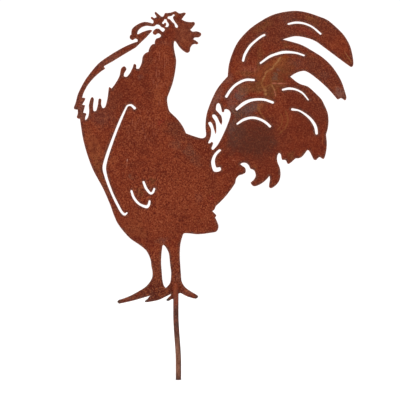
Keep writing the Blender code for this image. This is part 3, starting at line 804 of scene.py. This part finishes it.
class Shader:
    """Short calls for the nodes of one rust material."""

    def __init__(self, name):
        self.material = bpy.data.materials.new(name)
        self.material.use_nodes = True
        self.nodes = self.material.node_tree.nodes
        self.links = self.material.node_tree.links
        self.surface = self.nodes["Principled BSDF"]
        self.surface.inputs["Specular IOR Level"].default_value = RUST_SPECULAR

    def node(self, kind, inputs, **settings):
        """A new node with its settings, and its inputs linked or set."""
        made = self.nodes.new(kind)
        for key, value in settings.items():
            setattr(made, key, value)
        for key, value in inputs.items():
            if isinstance(value, bpy.types.NodeSocket):
                self.links.new(value, made.inputs[key])
            else:
                made.inputs[key].default_value = value
        return made

    def place(self, stretch=(1, 1, 1), shift=(0, 0, 0)):
        """Object position in millimetres, stretched and shifted."""
        where = self.node("ShaderNodeTexCoord", {}).outputs["Object"]
        scale = tuple(s / MM for s in stretch)
        mapped = self.node("ShaderNodeMapping", {"Vector": where, "Scale": scale, "Location": shift})
        return mapped.outputs["Vector"]

    def noise(self, vector, size, detail, roughness, distortion=0.0):
        """Noise from 0 to 1 with features of about a size in millimetres."""
        made = self.node("ShaderNodeTexNoise", {
            "Vector": vector, "Scale": 1 / size, "Detail": detail,
            "Roughness": roughness, "Distortion": distortion})
        return made.outputs["Fac"]

    def cells(self, vector, size):
        """Distance from the nearest of points scattered about a size in millimetres apart."""
        return self.node("ShaderNodeTexVoronoi", {"Vector": vector, "Scale": 1 / size}).outputs["Distance"]

    def attribute(self, name, output):
        """A number or colour that the mesh keeps for each of its points."""
        return self.node("ShaderNodeAttribute", {}, attribute_name=name).outputs[output]

    def math(self, operation, a, b, clamp=False):
        """The result of one sum on two numbers."""
        return self.node("ShaderNodeMath", {0: a, 1: b}, operation=operation, use_clamp=clamp).outputs[0]

    def band(self, value, low, high, out_low=0.0, out_high=1.0):
        """A smooth step from out_low at low to out_high at high."""
        made = self.node("ShaderNodeMapRange", {
            "Value": value, "From Min": low, "From Max": high, "To Min": out_low, "To Max": out_high},
            interpolation_type="SMOOTHSTEP")
        return made.outputs["Result"]

    def mix(self, share, a, b):
        """Colour a with a share of colour b laid over it."""
        colours = [c if isinstance(c, bpy.types.NodeSocket) else (*c, 1.0) for c in (a, b)]
        inputs = dict(zip(MIX_INPUTS, (share, *colours)))
        return self.node("ShaderNodeMix", inputs, data_type="RGBA", clamp_factor=True).outputs[MIX_RESULT]

    def finish(self, colour, roughness, height, distance):
        """Links colour, roughness and a height in mm to the surface."""
        bump = self.node("ShaderNodeBump", {"Height": height, "Distance": distance * MM, "Strength": 1.0})
        self.links.new(colour, self.surface.inputs["Base Color"])
        self.links.new(roughness, self.surface.inputs["Roughness"])
        self.links.new(bump.outputs["Normal"], self.surface.inputs["Normal"])
        return self.material


def centred(shader, value, weight):
    """A noise value as a push either way of zero."""
    return shader.math("MULTIPLY", shader.math("SUBTRACT", value, 0.5), weight)


def rust_colour(shader, pattern, strength):
    """Brown-red rust with a broad tone and a mottle of a few millimetres."""
    broad = centred(shader, shader.noise(pattern, *BROAD_TONE), 0.60)
    middle = centred(shader, shader.noise(pattern, *MIDDLE_TONE), 0.80)
    mottle = centred(shader, shader.noise(pattern, *MOTTLE), 0.90)
    tone = shader.math("ADD", broad, middle)
    tone = shader.math("ADD", tone, shader.math("MULTIPLY", mottle, strength))
    colour = shader.mix(shader.band(tone, -0.24, 0.02), RUST_DARK, RUST_MAIN)
    return shader.mix(shader.band(tone, 0.00, 0.26), colour, RUST_ORANGE)


def add_grain(shader, colour, pattern, strength):
    """Pale, warm and deep grains of a millimetre or two."""
    grain = shader.noise(pattern, *GRAIN)
    pale = shader.math("MULTIPLY", shader.band(grain, 0.49, 0.69, 0.0, 0.46), strength)
    colour = shader.mix(pale, colour, RUST_PALE)
    deep = shader.math("MULTIPLY", shader.band(grain, 0.50, 0.31, 0.0, 0.78), strength)
    colour = shader.mix(deep, colour, RUST_DEEP)
    second = shader.noise(shader.place(SHEET_STRETCH, WARM_SHIFT), *WARM_GRAIN)
    warm = shader.math("MULTIPLY", shader.band(second, 0.58, 0.70, 0.0, 0.45), strength)
    return shader.mix(warm, colour, RUST_BRIGHT)


def warped_place(shader, size, reach):
    """Object position pushed about by up to a reach, so that edges drawn on it wander."""
    plain = shader.place()
    wobble = shader.node("ShaderNodeTexNoise", {"Vector": plain, "Scale": 1 / size, "Detail": 3.0})
    middle = shader.node("ShaderNodeVectorMath", {0: wobble.outputs["Color"], 1: (0.5, 0.5, 0.5)},
                         operation="SUBTRACT")
    push = shader.node("ShaderNodeVectorMath", {0: middle.outputs[0], "Scale": reach * 2},
                       operation="SCALE")
    return shader.node("ShaderNodeVectorMath", {0: plain, 1: push.outputs[0]}, operation="ADD").outputs[0]


def oval(shader, where, x, z, half_x, half_z, turn):
    """Distance from an oval's centre, 1 on its outline; the turn is anticlockwise from the front."""
    mapping = shader.node("ShaderNodeMapping", {
        "Vector": where, "Location": (x, 0, z), "Rotation": (0, -math.radians(turn), 0),
        "Scale": (half_x, FAR, half_z)}, vector_type="TEXTURE")
    return shader.node("ShaderNodeVectorMath", {0: mapping.outputs[0]}, operation="LENGTH").outputs["Value"]


def zone(shader, where, x, z, half_x, half_z):
    """1 in the middle of an upright oval, fading to 0 past its outline."""
    return shader.band(oval(shader, where, x, z, half_x, half_z, 0), ZONE_END, ZONE_FULL)


def add_patches(shader, colour):
    """Lays the patches over the rust, ragged where they are thin."""
    tint = shader.attribute("tint", "Color")
    cover = shader.attribute("cover", "Fac")
    ragged = shader.noise(shader.place(), *RAGGED_COVER)
    push = shader.math("MULTIPLY", centred(shader, ragged, 2.4), shader.band(cover, 0.0, 0.5, 0.0, 0.6))
    return shader.mix(shader.math("ADD", cover, push, clamp=True), colour, tint)


def add_veins(shader, colour, facing):
    """Draws each thin run as a chain of slim ovals between its points."""
    where = warped_place(shader, *VEIN_WANDER)
    breaks = shader.band(shader.noise(shader.place(), *VEIN_BREAKS), 0.36, 0.54, 0.35, 1.0)
    for tint, half_width, strength, points in VEINS:
        nearest = None
        for (x0, z0), (x1, z1) in zip(points, points[1:]):
            length = math.hypot(x1 - x0, z1 - z0)
            turn = math.degrees(math.atan2(z1 - z0, x1 - x0))
            half_length = length * LINK_OVERLAP / 2
            link = oval(shader, where, (x0 + x1) / 2, (z0 + z1) / 2, half_length, half_width, turn)
            nearest = link if nearest is None else shader.math("MINIMUM", nearest, link)
        share = shader.math("MULTIPLY", shader.band(nearest, 1.4, 0.3, 0.0, strength), breaks)
        colour = shader.mix(shader.math("MULTIPLY", share, facing), colour, tint)
    return colour


def add_claws(shader, colour):
    """Darkens the tips of the claws."""
    plain = shader.place()
    for x, z, half_x, half_z, turn, strength in CLAWS:
        near = oval(shader, plain, x, z, half_x, half_z, turn)
        colour = shader.mix(shader.band(near, 1.4, 0.6, 0.0, strength), colour, CLAW)
    return colour


def add_streaks(shader, colour, facing):
    """Thin upright lighter runs, in their zones on the front and here and there on the back."""
    plain = shader.place()
    thin = shader.band(shader.noise(shader.place(STREAK_STRETCH), *STREAKS), 0.54, 0.70)
    behind = shader.math("SUBTRACT", 1.0, facing)
    broken = shader.band(shader.noise(plain, *STREAKS_BEHIND), 0.50, 0.65)
    where = shader.math("MULTIPLY", behind, broken)
    for spot in STREAK_ZONES:
        here = shader.math("MULTIPLY", zone(shader, plain, *spot), facing)
        where = shader.math("MAXIMUM", where, here)
    share = shader.math("MULTIPLY", thin, where)
    return shader.mix(shader.math("MULTIPLY", share, STREAK_STRENGTH), colour, RUST_PINK)


def add_edge_wear(shader, colour, pattern, rim):
    """Lays a broken grey crust along the cut edges and returns it with its strength."""
    uneven = shader.noise(pattern, *EDGE_WEAR)
    worn = shader.math("SUBTRACT", rim, centred(shader, uneven, 3.0))
    broken = shader.band(uneven, 0.34, 0.60, 0.45, 0.95)
    edge = shader.math("MULTIPLY", shader.band(worn, *WORN_EDGE), broken)
    crust = shader.mix(shader.band(shader.noise(pattern, *CRUST), 0.42, 0.58), RIM_DARK, RIM_GREY)
    return shader.mix(edge, colour, crust), edge


def plate_material():
    """The plate's rust with its patches, streaks, worn edges, grains, pits, veins and bright lips."""
    shader = Shader("rust_plate")
    plain = shader.place()
    pattern = shader.place(SHEET_STRETCH)
    apart = shader.node("ShaderNodeSeparateXYZ", {"Vector": plain})
    depth, place_z = apart.outputs["Y"], apart.outputs["Z"]
    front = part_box("rooster_sheet")[0].y / MM
    facing = shader.band(depth, front + FRONT_ENDS, front + FRONT_FULL)
    strength = shader.attribute("grain", "Fac")
    rim = shader.attribute("rim", "Fac")
    colour = rust_colour(shader, pattern, strength)
    colour = add_patches(shader, colour)
    colour = add_streaks(shader, colour, facing)
    colour, edge = add_edge_wear(shader, colour, pattern, rim)
    colour = add_grain(shader, colour, pattern, strength)
    pitted = shader.band(shader.attribute("relief", "Fac"), -0.02, -0.12, 0.0, 0.6)
    colour = shader.mix(pitted, colour, RUST_DEEP)
    colour = add_veins(shader, colour, facing)
    lip = shader.band(rim, *BRIGHT_LIP, 0.0, 0.85)
    lip = shader.math("MULTIPLY", lip, shader.band(place_z, *LIP_HEIGHTS, 0.3, 1.0))
    colour = shader.mix(lip, colour, RUST_LIP)
    colour = add_claws(shader, colour)
    grain = shader.noise(plain, *FINE_GRAIN)
    pore = shader.band(shader.cells(plain, PORE_PITCH), 0.05, 0.35)
    height = shader.math("ADD", grain, shader.math("MULTIPLY", pore, 0.6))
    roughness = shader.math("MAXIMUM", shader.band(grain, 0.2, 0.8, 0.78, 0.96), edge)
    return shader.finish(colour, roughness, height, PLATE_BUMP)


def bar_material():
    """Plum-brown bar, rusty where it laps the foot, paler and scoured where it was in the ground, with
    painted shade down its right side low down and a painted highlight down its front where it laps the foot.
    """
    shader = Shader("rust_bar")
    pattern = shader.place()
    along = shader.place(BAR_STRETCH)
    z = shader.node("ShaderNodeSeparateXYZ", {"Vector": pattern}).outputs["Z"]
    height = shader.math("ADD", z, centred(shader, shader.noise(pattern, *BAR_WANDER), HEIGHT_WANDER))
    colour = shader.mix(shader.band(shader.noise(along, *BAR_TONE), 0.38, 0.62), BAR_DARK, BAR_PLUM)
    scouring = shader.band(shader.noise(along, *BAR_SCOURING), 0.36, 0.64)
    scoured = shader.mix(scouring, BAR_BROWN, BAR_SCOURED)
    colour = shader.mix(shader.band(height, *SCOURED_BELOW), colour, scoured)
    colour = shader.mix(shader.band(height, *RUSTY_ABOVE, 0.0, 0.9), colour, RUST_ORANGE)
    colour = shader.mix(shader.band(z, *DARK_END, 0.0, 0.75), colour, BAR_DARK)
    grain = shader.noise(pattern, *BAR_GRAIN)
    colour = shader.mix(shader.band(grain, 0.50, 0.68, 0.0, 0.45), colour, RUST_PINK)
    colour = shader.mix(shader.band(grain, 0.48, 0.32, 0.0, 0.70), colour, RUST_DEEP)
    stain = shader.band(shader.noise(shader.place(STAIN_STRETCH, STAIN_SHIFT), *BAR_STAIN), 0.56, 0.66)
    colour = shader.mix(shader.math("MULTIPLY", stain, 0.40), colour, BAR_DARK)
    # Painted shade: the bar's right side is darkened towards BAR_DARK below the soil line, as if lit from
    # the left
    uneven = centred(shader, shader.noise(along, *BAR_PAINTED_SHADE), 0.9)
    right = shader.math("ADD", shader.attribute("side", "Fac"), uneven)
    painted_shade = shader.math("MULTIPLY", shader.band(right, 0.50, 0.85, 0.0, 0.70), shader.band(z, *PAINTED_SHADE_BELOW))
    colour = shader.mix(painted_shade, colour, BAR_DARK)
    where = warped_place(shader, *BAR_SPOT_WANDER)
    spot = oval(shader, where, *BAR_SPOT)
    colour = shader.mix(shader.band(spot, 1.3, 0.3, 0.0, 0.65), colour, BAR_INK)
    # Painted highlight: a pale stripe of RUST_BRIGHT down the bar's front, left of its middle
    painted_highlight = oval(shader, where, *BAR_PAINTED_HIGHLIGHT)
    colour = shader.mix(shader.band(painted_highlight, 1.3, 0.3, 0.0, 0.55), colour, RUST_BRIGHT)
    fine = shader.noise(pattern, *FINE_GRAIN)
    roughness = shader.band(fine, 0.2, 0.8, 0.70, 0.92)
    return shader.finish(colour, roughness, fine, BAR_BUMP)


def weld_material():
    """Weld metal under the same rust as the plate."""
    shader = Shader("rust_weld")
    pattern = shader.place()
    colour = rust_colour(shader, pattern, WELD_GRAIN)
    colour = add_grain(shader, colour, pattern, WELD_GRAIN)
    fine = shader.noise(pattern, *FINE_GRAIN)
    roughness = shader.band(fine, 0.2, 0.8, 0.70, 0.94)
    return shader.finish(colour, roughness, fine, WELD_BUMP)


def dress(piece, node, material):
    """Gives a visible piece its material, and puts it in a solid's place."""
    piece.data.materials.append(material)
    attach(piece, "root")
    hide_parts(node)


def build_floor():
    """A plain pale floor at the bar's lower end."""
    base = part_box("ground_spike")[0].z
    half = FLOOR_SIZE / 2
    mesh = bpy.data.meshes.new("floor")
    corners = [(-half, -half, base), (half, -half, base), (half, half, base), (-half, half, base)]
    mesh.from_pydata(corners, [], [(0, 1, 2, 3)])
    floor = new_object("floor", mesh)
    material = bpy.data.materials.new("pale_floor")
    material.use_nodes = True
    surface = material.node_tree.nodes["Principled BSDF"]
    surface.inputs["Base Color"].default_value = (FLOOR_GREY, FLOOR_GREY, FLOOR_GREY, 1)
    surface.inputs["Roughness"].default_value = FLOOR_ROUGHNESS
    mesh.materials.append(material)


def area_light(name, place, aim, size, power):
    """A round lamp at a place, turned to its aim."""
    data = bpy.data.lights.new(name, "AREA")
    data.shape = "DISK"
    data.size = size
    data.energy = power
    light = new_object(name, data)
    light.location = place
    light.rotation_euler = (Vector(aim) - Vector(place)).to_track_quat("-Z", "Y").to_euler()


def light_scene():
    """Soft light from all round, with a little more from the upper left."""
    world = bpy.data.worlds.new("studio")
    world.use_nodes = True
    background = world.node_tree.nodes["Background"]
    background.inputs["Color"].default_value = (1, 1, 1, 1)
    background.inputs["Strength"].default_value = WORLD_STRENGTH
    bpy.context.scene.world = world
    for name, place, size, power in LIGHTS:
        area_light(name, place, (VIEW_CENTRE[0], 0, VIEW_CENTRE[1]), size, power)
    bpy.context.scene.view_settings.view_transform = "Standard"


def build_camera():
    """A level camera square to the plate, framed as the photograph is."""
    data = bpy.data.cameras.new("camera")
    data.sensor_width = SENSOR
    data.lens = SENSOR * CAMERA_DISTANCE / VIEW_WIDTH
    data.clip_end = CLIP_END
    camera = new_object("camera", data)
    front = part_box("rooster_sheet")[0].y
    camera.location = (VIEW_CENTRE[0], front - CAMERA_DISTANCE, VIEW_CENTRE[1])
    camera.rotation_euler = (math.pi / 2, 0, 0)
    bpy.context.scene.camera = camera


build_camera()
light_scene()
build_floor()
dress(build_plate(), "rooster_sheet", plate_material())
dress(build_bar(), "ground_spike", bar_material())
dress(build_weld(), "weld_bead", weld_material())

bpy.context.view_layer.update()
